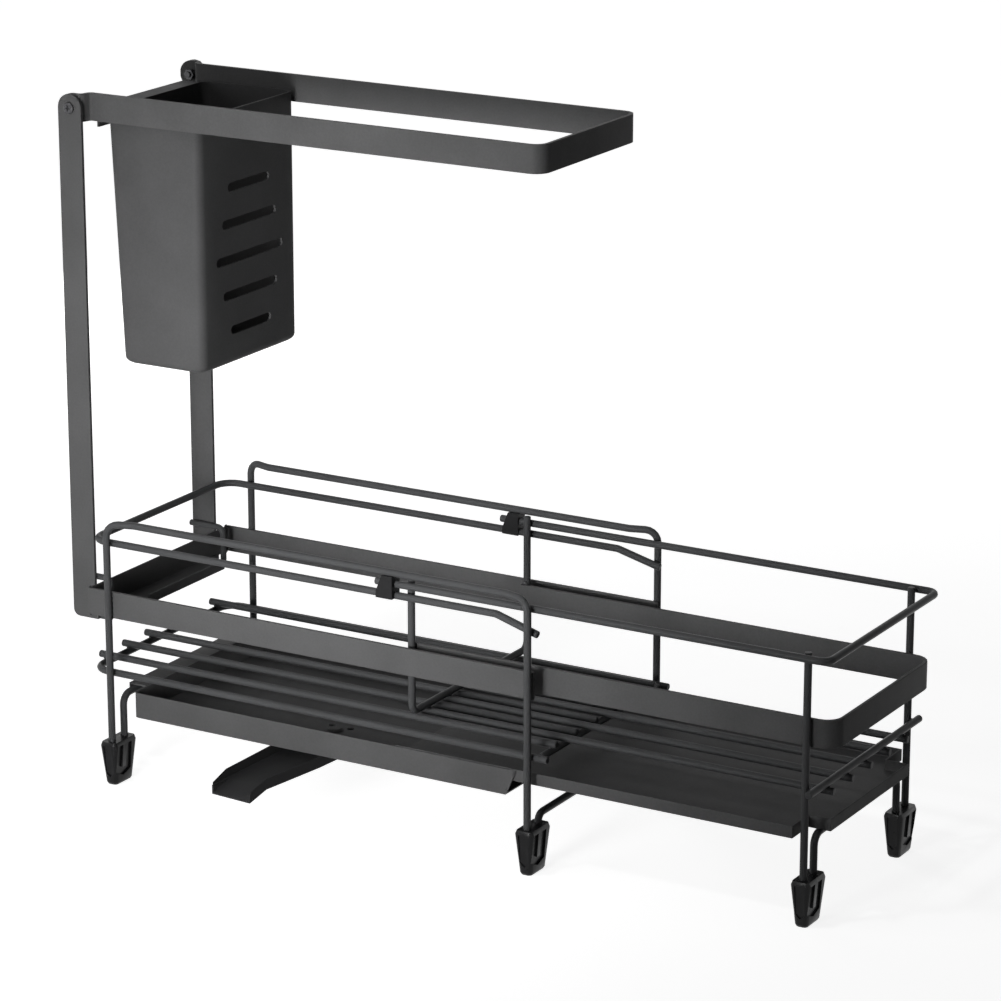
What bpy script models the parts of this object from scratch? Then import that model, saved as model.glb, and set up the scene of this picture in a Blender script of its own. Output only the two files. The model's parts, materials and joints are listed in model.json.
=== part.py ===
"""Telescopic sink organizer: a wire basket whose two halves slide into each other, over nested drip trays.

A pair of flat-bar uprights at the left end carries a fold-down arm frame, and a slotted bin hangs in it.
The model is laid out on a bench frame: X runs along the basket from the left legs, Y runs from the front
legs to the back ones, and Z is the height over the worktop. The last lines of placing move that frame to
the bottom centre of the whole object.
"""
import math

import bmesh
import bpy
from mathutils import Matrix, Vector

MM = 0.001

# Stock that the product is made of, and the gaps that its pieces keep
wire_dia = 4.0 * MM
keeper_dia = 3.5 * MM
bar_height = 15.0 * MM
bar_thick = 2.0 * MM
tray_sheet = 1.0 * MM
bin_sheet = 1.2 * MM
channel_sheet = 1.2 * MM
seat_gap = 0.3 * MM
slide_gap = 0.9 * MM
overrun = 20.0 * MM

# Left frame: four legs, their rails and the heights of what is welded to them
leg_depth = 140.7 * MM
leg_span = 263.7 * MM
top_rail_z = 149.7 * MM
top_rail_inset = 4.6 * MM
top_rail_jog = 15.0 * MM
guard_rail_drop = 12.2 * MM
guard_rail_inset = 5.3 * MM
guard_left_reach = 13.9 * MM
guard_kink_length = 25.5 * MM
guard_kink_drop = 7.0 * MM
guard_end_past_leg = 3.8 * MM
bar_low_z = 95.4 * MM
left_bar_overhang = 2.0 * MM
leg_bend_radius = 7.0 * MM
plan_bend_radius = 10.0 * MM

# Left floor: a perimeter wire, a cross wire and the long wires on them
floor_z = 63.4 * MM
floor_left_reach = 14.5 * MM
floor_wire_poke = 3.9 * MM
left_wire_count = 6
left_wire_margin = 16.7 * MM

# Right frame, as far out as it stands at rest
pulled_out = 154.3 * MM
right_overlap = 75.7 * MM
right_rail_inset = 5.6 * MM
right_rail_past_leg = 12.9 * MM
right_rail_radius = 5.5 * MM
right_bar_past_leg = 14.9 * MM
right_bar_start = 2.0 * MM
right_wire_count = 5
right_wire_margin = 26.45 * MM
right_wire_poke = 3.9 * MM
cross_wire_poke = 3.5 * MM
post_bend_radius = 5.0 * MM
clip_length = 10.0 * MM
clip_width = 8.0 * MM
clip_post_gap = 6.5 * MM
clip_snap = 1.4 * MM
clip_saddle = 0.8 * MM
clip_slant_length = 3.5 * MM
clip_slant_height = 9.0 * MM
clip_clearance = 0.35 * MM
right_rail_poke = 2.5 * MM
post_top_drop = 1.1 * MM

# Portals: the cross wires that rise out of each pair of feet
portal_inset = 11.4 * MM
left_portal_z = 48.5 * MM
middle_portal_z = 29.7 * MM
right_portal_z = 45.3 * MM
portal_radius = 6.0 * MM

# Rubber feet
foot_height = 25.0 * MM
foot_top_width = 11.4 * MM
foot_top_length = 21.5 * MM
foot_bottom_width = 7.4 * MM
foot_bottom_length = 16.2 * MM
foot_corner = 2.6 * MM
foot_shoulder = 2.2 * MM
foot_sole_edge = 1.2 * MM
foot_sole_thick = 10.0 * MM
foot_recess_depth = 1.1 * MM
foot_recess_width = 13.0 * MM
foot_recess_shift = 1.5 * MM
foot_recess_low = 4.5 * MM
foot_recess_vee = 2.5 * MM
foot_end_recess_width = 5.4 * MM
foot_end_recess_depth = 0.7 * MM
foot_rib_width = 3.0 * MM
foot_rib_low = 9.5 * MM

# Uprights, the channel between the bars and the wire keepers
upright_clear = 0.9 * MM
upright_inset = 11.3 * MM
upright_low_z = 89.5 * MM
upright_tab = 1.5 * MM
upright_tab_height = 17.6 * MM
upright_corner = 4.0 * MM
upright_fillet = 1.2 * MM
channel_width = 19.0 * MM
channel_lip = 5.5 * MM
channel_mitre_start = 11.7 * MM
keeper_top_z = 112.9 * MM
keeper_low_z = 90.5 * MM
keeper_reach = 5.5 * MM
keeper_radius = 4.0 * MM

# Fold-down arm frame
pivot_z = 373.9 * MM
arm_length = 284.4 * MM
arm_inset = 19.8 * MM
arm_corner = 8.0 * MM
joggle_start = 5.5 * MM
joggle_run = 1.5 * MM
joggle_radius = 2.6 * MM
rod_drop = 4.4 * MM
screw_dia = 3.0 * MM
screw_clearance = 0.25 * MM
screw_head_dia = 6.4 * MM
screw_head_height = 1.8 * MM
screw_crown = 0.7 * MM
screw_crown_share = 0.7
nut_width = 5.5 * MM
nut_height = 2.4 * MM
screw_end = 1.0 * MM

# Bin
bin_side_gap = 2.2 * MM
bin_length = 59.6 * MM
bin_left_slope = 6.3 * MM
bin_depth = 139.0 * MM
bin_corner = 5.0 * MM
bin_bottom_radius = 4.0 * MM
hook_reach = 10.0 * MM
hook_drop = 12.0 * MM
hook_inset = 6.0 * MM
slot_height = 5.0 * MM
slot_pitch = 19.6 * MM
top_slot_drop = 41.8 * MM
slot_width_shares = (0.43, 0.56, 0.69, 0.56, 0.42)

# Drip trays
left_tray_inset = 4.2 * MM
left_tray_start = 12.0 * MM
left_tray_stop = 15.5 * MM
left_tray_drop = 11.1 * MM
left_tray_wall = 14.2 * MM
left_tray_slant = 6.5 * MM
tray_corner = 3.0 * MM
tray_lip_margin = 22.0 * MM
tray_lip_drop = 2.8 * MM
tongue_width = 36.0 * MM
right_tray_start = 8.0 * MM
right_tray_wall = 6.6 * MM
right_tray_leg_gap = 2.5 * MM
right_tray_past_leg = 7.9 * MM
right_tray_notch = 18.5 * MM
heel_width = 18.0 * MM
heel_margin = 1.5 * MM

# Swivelling spout under the left tray
spout_x = 120.5 * MM
spout_y = 40.0 * MM
spout_turn_degrees = -4.7
spout_width = 33.1 * MM
spout_tip_width = 25.5 * MM
spout_length = 91.0 * MM
spout_taper_start = 36.0 * MM
spout_ramp = 13.0 * MM
spout_ramp_drop = 4.0 * MM
spout_wall = 6.0 * MM
rivet_shank_dia = 5.0 * MM
rivet_collar_dia = 8.0 * MM
rivet_head_dia = 9.0 * MM
rivet_head_height = 1.2 * MM
rivet_crown_share = 0.7
drain_dia = 4.0 * MM
drain_circle_dia = 17.0 * MM
drain_count = 4

# Fineness of round shapes
BEND_STEPS = 5
WIRE_SIDES = 12
ROUND_SIDES = 24
SMALL_SIDES = 12
CORNER_STEPS = 4
TIP_STEPS = 6
NUT_SIDES = 6
SMOOTH_ANGLE = math.radians(40)

# Places worked out from the sizes above
wire_r = wire_dia / 2
welded = wire_dia + seat_gap
right_leg_x = leg_span + pulled_out
post_x = leg_span - right_overlap
guard_rail_z = top_rail_z - guard_rail_drop
right_rail_z = (top_rail_z + guard_rail_z) / 2
right_leg_y = right_rail_inset + welded
right_bar_y = right_leg_y + wire_r + seat_gap
left_bar_y = wire_r + seat_gap
left_wire_pitch = (leg_depth - 2 * left_wire_margin) / (left_wire_count - 1)
right_wire_pitch = (leg_depth - 2 * right_wire_margin) / (right_wire_count - 1)
left_wire_z = floor_z + welded
right_wire_z = floor_z + wire_dia + slide_gap
right_cross_z = right_wire_z + welded
floor_cross_x = leg_span + welded
upright_right = -guard_left_reach - wire_r - upright_clear
channel_left = upright_right + upright_tab + seat_gap
pivot_x = upright_right - bar_height / 2
arm_tab_y = upright_inset + bar_thick + seat_gap
arm_end_x = pivot_x + arm_length
rod_z = pivot_z - rod_drop
bin_top_z = rod_z + wire_r + seat_gap + bin_sheet
bin_y = arm_inset + bar_thick + bin_side_gap
rod_x = pivot_x + hook_reach
bin_left = rod_x + (hook_reach - bin_sheet) / 2
left_tray_z = left_portal_z + wire_r + seat_gap - left_tray_drop
right_tray_z = right_portal_z + wire_r + seat_gap
right_tray_inset = left_tray_inset + tray_sheet + seat_gap
spout_top_z = left_tray_z - seat_gap
spout_low_z = spout_top_z - spout_wall
spout_turn = math.radians(spout_turn_degrees)
spout_tip_y = (spout_y - spout_length * math.cos(spout_turn)
               - spout_tip_width / 2 * math.sin(abs(spout_turn)))
foot_widest_share = 1 - foot_shoulder / foot_height
foot_widest = foot_bottom_length + (foot_top_length - foot_bottom_length) * foot_widest_share
foot_outer = (foot_widest - portal_inset) / 2
origin_x = (upright_right - bar_height + right_leg_x + right_bar_past_leg) / 2
origin_y = (spout_tip_y + leg_depth + foot_outer) / 2


def clear_scene():
    for obj in list(bpy.data.objects):
        bpy.data.objects.remove(obj, do_unlink=True)


def material(name, colour, roughness, metallic):
    made = bpy.data.materials.new(name)
    made.use_nodes = True
    shader = made.node_tree.nodes["Principled BSDF"]
    shader.inputs["Base Color"].default_value = (*colour, 1)
    shader.inputs["Roughness"].default_value = roughness
    shader.inputs["Metallic"].default_value = metallic
    return made


def joint_empty(name, parent, place):
    """An empty on a body's joint axis; every piece of that body is parented to it."""
    empty = bpy.data.objects.new(name, None)
    bpy.context.collection.objects.link(empty)
    empty["bench"] = Vector(place)
    if parent:
        empty.parent = parent
        empty.location = Vector(place) - Vector(parent["bench"])
    return empty


def attach(obj, body, finish):
    """Gives a piece its material and moves its origin to its body's joint axis."""
    obj.data.transform(Matrix.Translation(-Vector(body["bench"])))
    if obj.type == "MESH":
        obj.data.shade_smooth()
        obj.data.set_sharp_from_angle(angle=SMOOTH_ANGLE)
    obj.data.materials.append(finish)
    obj.parent = body
    return obj


def near(y):
    return y


def far(y):
    return leg_depth - y


SIDES = (("front", near), ("back", far))


def rounded(points, radius):
    """A path through corner points, with each inner corner turned into an arc of the given radius."""
    corners = [Vector(p) for p in points]
    path = [corners[0]]
    for before, corner, after in zip(corners, corners[1:], corners[2:]):
        into = corner - before
        out = after - corner
        a = into.normalized()
        b = out.normalized()
        turn = a.angle(b)
        reach = min(radius * math.tan(turn / 2), into.length / 2, out.length / 2)
        bend = reach / math.tan(turn / 2)
        side = (b - a * a.dot(b)).normalized()
        start = corner - a * reach
        for step in range(BEND_STEPS + 1):
            angle = turn * step / BEND_STEPS
            path.append(start + a * bend * math.sin(angle) + side * bend * (1 - math.cos(angle)))
    path.append(corners[-1])
    return path


def wire(name, path, body, finish, diameter=wire_dia):
    """A round wire along a path, as a bevelled curve with closed ends."""
    curve = bpy.data.curves.new(name, "CURVE")
    curve.dimensions = "3D"
    curve.bevel_depth = diameter / 2
    curve.bevel_resolution = (WIRE_SIDES - 4) // 2
    curve.use_fill_caps = True
    spline = curve.splines.new("POLY")
    spline.points.add(len(path) - 1)
    for point, place in zip(spline.points, path):
        point.co = (*place, 1)
    spline.use_smooth = True
    obj = bpy.data.objects.new(name, curve)
    bpy.context.collection.objects.link(obj)
    return attach(obj, body, finish)


def mesh_object(name, bm):
    bmesh.ops.recalc_face_normals(bm, faces=bm.faces)
    mesh = bpy.data.meshes.new(name)
    bm.to_mesh(mesh)
    bm.free()
    obj = bpy.data.objects.new(name, mesh)
    bpy.context.collection.objects.link(obj)
    return obj


def lofted(name, rings):
    """A closed solid through rings of equal point counts, with its first and last ring filled."""
    bm = bmesh.new()
    rows = [[bm.verts.new(p) for p in ring] for ring in rings]
    for low, high in zip(rows, rows[1:]):
        for i in range(len(low)):
            j = (i + 1) % len(low)
            bm.faces.new((low[i], low[j], high[j], high[i]))
    bm.faces.new(rows[0][::-1])
    bm.faces.new(rows[-1])
    return mesh_object(name, bm)


def prism(name, outline, axis, low, high):
    """A flat outline drawn across one axis and extruded along it."""
    def at(a, b, along):
        return {"X": (along, a, b), "Y": (a, along, b), "Z": (a, b, along)}[axis]
    return lofted(name, [[at(a, b, along) for a, b in outline] for along in (low, high)])


def box(name, low, high):
    (x0, y0, z0), (x1, y1, z1) = low, high
    return prism(name, [(x0, y0), (x1, y0), (x1, y1), (x0, y1)], "Z", z0, z1)


def turned(name, profile, centre, axis, sides=ROUND_SIDES):
    """A solid of revolution from radius and height pairs, standing on an axis through its centre."""
    turn = Vector((0, 0, 1)).rotation_difference(Vector(axis)).to_matrix()
    rings = []
    for radius, height in profile:
        ring = []
        for i in range(sides):
            angle = math.tau * i / sides
            local = Vector((radius * math.cos(angle), radius * math.sin(angle), height))
            ring.append(Vector(centre) + turn @ local)
        rings.append(ring)
    return lofted(name, rings)


def ribbon(name, path, thick, low, high, round_ends=False):
    """A flat bar on edge that follows a path in plan; its ends may be rounded in side view."""
    points = [Vector(p).to_2d() for p in path]
    half, middle = (high - low) / 2, (high + low) / 2
    heights = [half] * len(points)
    if round_ends:
        points, heights = round_tips(points, half)
    rings = []
    for i, point in enumerate(points):
        before = points[i] - points[i - 1] if i else points[1] - points[0]
        after = points[i + 1] - points[i] if i + 1 < len(points) else before
        a, b = before.normalized(), after.normalized()
        along = (a + b).normalized()
        across = Vector((-along.y, along.x)) * thick / 2 / max(along.dot(a), math.cos(math.pi / 4))
        tall = heights[i]
        rings.append([(*(point + across), middle - tall), (*(point - across), middle - tall),
                      (*(point - across), middle + tall), (*(point + across), middle + tall)])
    return lofted(name, rings)


def round_tips(points, half):
    """Adds columns of falling height to both ends of a path, so that the bar's ends are half round."""
    start, end = [], []
    for step in range(1, TIP_STEPS):
        angle = math.pi / 2 * step / TIP_STEPS
        depth = half * (1 - math.cos(angle))
        start.append((points[0] + (points[1] - points[0]).normalized() * depth, half * math.sin(angle)))
        end.insert(0, (points[-1] + (points[-2] - points[-1]).normalized() * depth, half * math.sin(angle)))
    first = points[0] + (points[1] - points[0]).normalized() * half
    last = points[-1] + (points[-2] - points[-1]).normalized() * half
    body = [(first, half)] + [(p, half) for p in points[1:-1]] + [(last, half)]
    columns = start + body + end
    return [p for p, _ in columns], [h for _, h in columns]


def arc(cx, cy, radius, start, end, steps=CORNER_STEPS):
    """Points of a circular arc between two angles in degrees."""
    points = []
    for step in range(steps + 1):
        angle = math.radians(start + (end - start) * step / steps)
        points.append((cx + radius * math.cos(angle), cy + radius * math.sin(angle)))
    return points


def rounded_box(x0, x1, y0, y1, radius):
    """The outline of a rectangle with round corners."""
    left, right, low, high = x0 + radius, x1 - radius, y0 + radius, y1 - radius
    outline = arc(right, low, radius, -90, 0) + arc(right, high, radius, 0, 90)
    return outline + arc(left, high, radius, 90, 180) + arc(left, low, radius, 180, 270)


def combine(target, other, operation):
    """A Boolean modifier; its second operand stays as a hidden wire guide."""
    modifier = target.modifiers.new(other.name, "BOOLEAN")
    modifier.operation = operation
    modifier.object = other
    other.hide_render = True
    other.display_type = "WIRE"
    other.parent = target.parent
    return target


def cut(target, cutter):
    return combine(target, cutter, "DIFFERENCE")


def add(target, extra):
    return combine(target, extra, "UNION")


def place_helpers(body, helpers):
    """Cutters share the origin of the body whose piece they shape."""
    for helper in helpers:
        helper.data.transform(Matrix.Translation(-Vector(body["bench"])))
        helper.parent = body


def leg_wires(body, steel):
    """Front and back: a leg, the top rail and the middle leg in one bent wire."""
    for side, at in SIDES:
        foot_end = foot_sole_thick + seat_gap
        corners = [(0, at(0), foot_end), (0, at(0), top_rail_z)]
        corners += [(top_rail_jog, at(top_rail_inset), top_rail_z)]
        corners += [(leg_span - top_rail_jog, at(top_rail_inset), top_rail_z)]
        corners += [(leg_span, at(0), top_rail_z), (leg_span, at(0), foot_end)]
        wire(f"left_{side}_leg_wire", rounded(corners, leg_bend_radius), body, steel)


def portal(name, x, outer, height, body, steel):
    """A cross wire whose two ends turn down into the feet."""
    low = foot_sole_thick + seat_gap
    y = outer + portal_inset
    radius = min(portal_radius, height - foot_height - seat_gap)
    corners = [(x, y, low), (x, y, height), (x, far(y), height), (x, far(y), low)]
    wire(name, rounded(corners, radius), body, steel)


def guard_rail(body, steel):
    """The lower rail round the left end; its right ends kink down onto the middle legs."""
    end_x = leg_span + guard_end_past_leg
    kink_x = end_x - guard_kink_length
    low = guard_rail_z - guard_kink_drop
    corners = [(end_x, welded, low), (kink_x, guard_rail_inset, guard_rail_z)]
    corners += [(-guard_left_reach, guard_rail_inset, guard_rail_z)]
    corners += [(x, far(y), z) for x, y, z in reversed(corners)]
    wire("guard_rail", rounded(corners, plan_bend_radius), body, steel)


def left_floor(body, steel):
    """The perimeter wire, the cross wire at the middle legs and the long floor wires."""
    right_end = floor_cross_x + wire_r + cross_wire_poke
    corners = [(right_end, welded, floor_z), (-floor_left_reach, welded, floor_z)]
    corners += [(x, far(y), z) for x, y, z in reversed(corners)]
    wire("left_floor_perimeter", rounded(corners, plan_bend_radius), body, steel)
    cross_y = welded + wire_r + seat_gap
    wire("left_floor_cross_wire", [(floor_cross_x, cross_y, floor_z), (floor_cross_x, far(cross_y), floor_z)],
         body, steel)
    for i in range(left_wire_count):
        y = left_wire_margin + i * left_wire_pitch
        ends = [-floor_left_reach - floor_wire_poke, floor_cross_x + floor_wire_poke]
        wire(f"left_floor_wire_{i + 1}", [(x, y, left_wire_z) for x in ends], body, steel)


def right_wires(body, steel):
    """The right frame's legs, rail, posts, cross wire and long floor wires."""
    top = right_rail_z + wire_r
    for side, at in SIDES:
        ends = [(right_leg_x, at(right_leg_y), z) for z in (foot_sole_thick + seat_gap, top)]
        wire(f"right_{side}_leg_wire", ends, body, steel)
    rail_right = right_leg_x + right_rail_past_leg
    rail_left = post_x - clip_post_gap - clip_length - right_rail_poke
    corners = [(rail_left, right_rail_inset, right_rail_z), (rail_right, right_rail_inset, right_rail_z)]
    corners += [(x, far(y), z) for x, y, z in reversed(corners)]
    wire("right_top_rail", rounded(corners, right_rail_radius), body, steel)
    post_top = top_rail_z - post_top_drop
    corners = [(post_x, right_leg_y, post_top), (post_x, right_leg_y, right_cross_z)]
    corners += [(x, far(y), z) for x, y, z in reversed(corners)]
    wire("right_post_wire", rounded(corners, post_bend_radius), body, steel)
    cross_x = right_leg_x + welded
    cross_y = right_leg_y - wire_r - cross_wire_poke
    wire("right_cross_wire", [(cross_x, cross_y, right_cross_z), (cross_x, far(cross_y), right_cross_z)],
         body, steel)
    for i in range(right_wire_count):
        y = right_wire_margin + i * right_wire_pitch
        ends = [post_x - right_wire_poke, cross_x + right_wire_poke]
        wire(f"right_floor_wire_{i + 1}", [(x, y, right_wire_z) for x in ends], body, steel)


def slider_clips(body, plastic):
    """Plastic blocks on the right rail's ends; each snaps on the guard rail and runs under the top rail."""
    right = post_x - clip_post_gap
    left = right - clip_length
    low = guard_rail_z - clip_snap
    high = top_rail_z - wire_r + clip_saddle
    outline = [(left, low), (right, low), (right, high)]
    outline += [(left + clip_slant_length, high), (left, high - clip_slant_height)]
    guides = (("upper", top_rail_inset, top_rail_z, clip_clearance),
              ("lower", guard_rail_inset, guard_rail_z, clip_clearance),
              ("socket", right_rail_inset, right_rail_z, seat_gap))
    for side, at in SIDES:
        middle = at((top_rail_inset + guard_rail_inset) / 2)
        clip = prism(f"slider_clip_{side}", outline, "Y", middle - clip_width / 2, middle + clip_width / 2)
        tools = []
        for label, inset, z, clearance in guides:
            profile = [(wire_r + clearance, left - overrun), (wire_r + clearance, right + overrun)]
            centre = (0, at(inset), z)
            tools.append(turned(f"clip_{label}_groove_{side}", profile, centre, (1, 0, 0), WIRE_SIDES))
        place_helpers(body, tools)
        attach(clip, body, plastic)
        for tool in tools:
            cut(clip, tool)


def flat_bars(left_body, right_body, steel):
    """The telescoping flat bars: two straight ones on the left, a U on the right inside them."""
    for side, at in SIDES:
        y = at(left_bar_y + bar_thick / 2)
        ends = [(channel_left, y), (leg_span + left_bar_overhang, y)]
        bar = ribbon(f"left_{side}_bar", ends, bar_thick, bar_low_z, bar_low_z + bar_height)
        attach(bar, left_body, steel)
    y = right_bar_y + bar_thick / 2
    right = right_leg_x + right_bar_past_leg - bar_thick / 2
    corners = [(post_x - right_bar_start, y, 0), (right, y, 0), (right, far(y), 0)]
    corners += [(post_x - right_bar_start, far(y), 0)]
    path = rounded(corners, plan_bend_radius - bar_thick / 2)
    bar = ribbon("right_bar", path, bar_thick, bar_low_z, bar_low_z + bar_height)
    attach(bar, right_body, steel)


def foot_ring(x, y, flip, length, width, corner, z):
    """One level of a foot: a rounded rectangle centred between its two wires."""
    middle = y + flip * portal_inset / 2
    outline = rounded_box(x - width / 2, x + width / 2, middle - length / 2, middle + length / 2, corner)
    return [(a, b, z) for a, b in outline]


def foot_size(share):
    """Length and width of a foot at a share of its height."""
    length = foot_bottom_length + (foot_top_length - foot_bottom_length) * share
    width = foot_bottom_width + (foot_top_width - foot_bottom_width) * share
    return length, width


def foot(name, x, y, flip, body, rubber):
    """A tapered rubber cap with two wire bores; all four sides have V-ended recesses, the broad ones ribbed."""
    rings = []
    for z, inset in ((0, foot_sole_edge), (foot_sole_edge, 0),
                     (foot_height - foot_shoulder, 0), (foot_height, foot_shoulder)):
        length, width = foot_size(z / foot_height)
        corner = foot_corner - inset / 2
        rings.append(foot_ring(x, y, flip, length - inset, width - inset, corner, z))
    cap = lofted(name, rings)
    tools = []
    for label, along in (("leg", 0), ("portal", portal_inset)):
        profile = [(wire_r + seat_gap, foot_sole_thick), (wire_r + seat_gap, foot_height + overrun)]
        centre = (x, y + flip * along, 0)
        tools.append(turned(f"{name}_{label}_bore", profile, centre, (0, 0, 1), SMALL_SIDES))
    middle = y + flip * (portal_inset / 2 - foot_recess_shift)
    wide, rib = foot_recess_width / 2, foot_rib_width / 2
    top, corner = foot_height - foot_shoulder, foot_recess_low + foot_recess_vee
    outline = [(-wide, top), (-wide, corner), (0, foot_recess_low), (wide, corner), (wide, top)]
    outline += [(rib, top), (rib, foot_rib_low), (-rib, foot_rib_low), (-rib, top)]
    for label, out in (("left", -1), ("right", 1)):
        rings = []
        for reach in (-foot_recess_depth, overrun):
            ring = []
            for a, z in outline:
                half_width = foot_size(z / foot_height)[1] / 2
                ring.append((x + out * (half_width + reach), middle + a, z))
            rings.append(ring)
        tools.append(lofted(f"{name}_{label}_recess", rings))
    middle, wide = y + flip * portal_inset / 2, foot_end_recess_width / 2
    outline = [(-wide, top), (-wide, corner), (0, foot_recess_low), (wide, corner), (wide, top)]
    for label, out in (("outer", -flip), ("inner", flip)):
        rings = []
        for reach in (-foot_end_recess_depth, overrun):
            ring = []
            for a, z in outline:
                half_length = foot_size(z / foot_height)[0] / 2
                ring.append((x + a, middle + out * (half_length + reach), z))
            rings.append(ring)
        tools.append(lofted(f"{name}_{label}_recess", rings))
    place_helpers(body, tools)
    attach(cap, body, rubber)
    for tool in tools:
        cut(cap, tool)


def feet(left_body, right_body, rubber):
    rows = (("left", 0, 0, left_body), ("middle", leg_span, 0, left_body),
            ("right", right_leg_x, right_leg_y, right_body))
    for row, x, inset, body in rows:
        foot(f"{row}_front_foot", x, inset, 1, body, rubber)
        foot(f"{row}_back_foot", x, far(inset), -1, body, rubber)


def upright_outline():
    """An upright in side view: a half-round top, straight sides and a low tab that meets the channel."""
    left = upright_right - bar_height
    end = channel_left - seat_gap
    top = upright_low_z + upright_tab_height
    outline = arc(pivot_x, pivot_z, bar_height / 2, 180, 0, 2 * BEND_STEPS)
    outline += arc(upright_right + upright_fillet, top + upright_fillet, upright_fillet, 180, 270)
    outline += [(end, top), (end, upright_low_z)]
    outline += arc(left + upright_corner, upright_low_z + upright_corner, upright_corner, 270, 180)
    return outline


def uprights(body, steel):
    for side, at in SIDES:
        y0, y1 = at(upright_inset), at(upright_inset + bar_thick)
        plate = prism(f"{side}_upright", upright_outline(), "Y", y0, y1)
        bore_r = screw_dia / 2 + screw_clearance
        profile = [(bore_r, -overrun), (bore_r, overrun)]
        bore = turned(f"{side}_upright_bore", profile, (pivot_x, y0, pivot_z), (0, 1, 0), SMALL_SIDES)
        place_helpers(body, [bore])
        attach(plate, body, steel)
        cut(plate, bore)


def channel(body, steel):
    """The folded cross member between the left bars: a full wall, and a floor and lip with mitred ends."""
    x0, x1 = channel_left, channel_left + channel_width
    t, z0 = channel_sheet, bar_low_z
    outline = [(x0, z0), (x1, z0), (x1, z0 + channel_lip), (x1 - t, z0 + channel_lip), (x1 - t, z0 + t)]
    outline += [(x0 + t, z0 + t), (x0 + t, z0 + bar_height), (x0, z0 + bar_height)]
    y = left_bar_y + bar_thick + seat_gap
    trough = prism("bar_channel", outline, "Y", y, far(y))
    start, reach = y + channel_mitre_start, channel_width + overrun
    mitres = []
    for side, at in SIDES:
        plan = [(x0 + t, at(start)), (x0 + t + reach, at(start + reach))]
        plan += [(x0 + t + reach, at(-overrun)), (x0 + t, at(-overrun))]
        mitres.append(prism(f"{side}_channel_mitre", plan, "Z", z0 - overrun, z0 + bar_height + overrun))
    place_helpers(body, mitres)
    attach(trough, body, steel)
    for mitre in mitres:
        cut(trough, mitre)


def keepers(body, steel):
    """C-shaped wires that reach from the uprights over the channel's wall, down its open corners and back."""
    y = upright_inset + bar_thick + seat_gap + keeper_dia / 2
    left, right = upright_right - bar_height, channel_left + keeper_reach
    for side, at in SIDES:
        corners = [(left, at(y), keeper_top_z), (right, at(y), keeper_top_z)]
        corners += [(right, at(y), keeper_low_z), (left, at(y), keeper_low_z)]
        wire(f"{side}_keeper_wire", rounded(corners, keeper_radius), body, steel, keeper_dia)


def arm_frame(body, steel):
    """The U of flat bar that folds down; its ends joggle out to tabs behind the uprights."""
    tab_y = arm_tab_y + bar_thick / 2
    arm_y = arm_inset + bar_thick / 2
    joggle_x = pivot_x + joggle_start
    end_x = arm_end_x - bar_thick / 2
    start = [(pivot_x - bar_height / 2, tab_y, 0), (joggle_x, tab_y, 0), (joggle_x + joggle_run, arm_y, 0)]
    half = rounded(start + [(end_x, arm_y, 0)], joggle_radius)[:-1]
    end = rounded([start[-1], (end_x, arm_y, 0), (end_x, far(arm_y), 0)], arm_corner - bar_thick / 2)[1:-1]
    front = half + end
    path = front + [Vector((p.x, far(p.y), p.z)) for p in reversed(front)]
    arms = ribbon("arm_frame", path, bar_thick, pivot_z - bar_height / 2, pivot_z + bar_height / 2, True)
    bores = []
    for side, at in SIDES:
        bore_r = screw_dia / 2 + screw_clearance
        profile = [(bore_r, -overrun), (bore_r, overrun)]
        centre = (pivot_x, at(tab_y), pivot_z)
        bores.append(turned(f"{side}_tab_bore", profile, centre, (0, 1, 0), SMALL_SIDES))
    place_helpers(body, bores)
    attach(arms, body, steel)
    for bore in bores:
        cut(arms, bore)


def joggle_face(x):
    """How far in from the front the arm's inner face lies at a place along its joggle."""
    share = (x - pivot_x - joggle_start) / joggle_run
    return arm_tab_y + bar_thick + (arm_inset - arm_tab_y) * min(max(share, 0), 1)


def bin_rod(body, steel):
    """The round rod between the arms that the bin's hook hangs on."""
    y = joggle_face(rod_x + wire_r) + seat_gap
    wire("bin_rod", [(rod_x, y, rod_z), (rod_x, far(y), rod_z)], body, steel)


def pivot_screws(body, bright):
    """A domed screw and a hexagon nut through each upright and arm tab."""
    for side, at in SIDES:
        out = -1 if side == "front" else 1
        face = (pivot_x, at(upright_inset), pivot_z)
        r, head_r = screw_dia / 2, screw_head_dia / 2
        nut_low = 2 * bar_thick + 2 * seat_gap
        end = nut_low + nut_height + screw_end
        profile = [(r, -end), (r, seat_gap), (head_r, seat_gap)]
        crown_low = screw_head_height - screw_crown
        profile += [(head_r, crown_low), (head_r * screw_crown_share, screw_head_height)]
        attach(turned(f"{side}_pivot_screw", profile, face, (0, out, 0), SMALL_SIDES), body, bright)
        corner = nut_width / 2 / math.cos(math.pi / NUT_SIDES)
        outline = arc(pivot_x, pivot_z, corner, 0, 360 * (1 - 1 / NUT_SIDES), NUT_SIDES - 1)
        y0, y1 = at(upright_inset + nut_low), at(upright_inset + nut_low + nut_height)
        nut = prism(f"{side}_pivot_nut", outline, "Y", y0, y1)
        profile = [(r + screw_clearance / 2, -overrun), (r + screw_clearance / 2, overrun)]
        bore = turned(f"{side}_nut_bore", profile, face, (0, out, 0), SMALL_SIDES)
        place_helpers(body, [bore])
        attach(nut, body, bright)
        cut(nut, bore)


def bin_ring(x0, inset, z):
    """One level of the bin: a rectangle with round corners, drawn in by an inset."""
    right = bin_left + bin_length - inset
    outline = rounded_box(x0 + inset, right, bin_y + inset, far(bin_y) - inset, bin_corner)
    return [(a, b, z) for a, b in outline]


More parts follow.
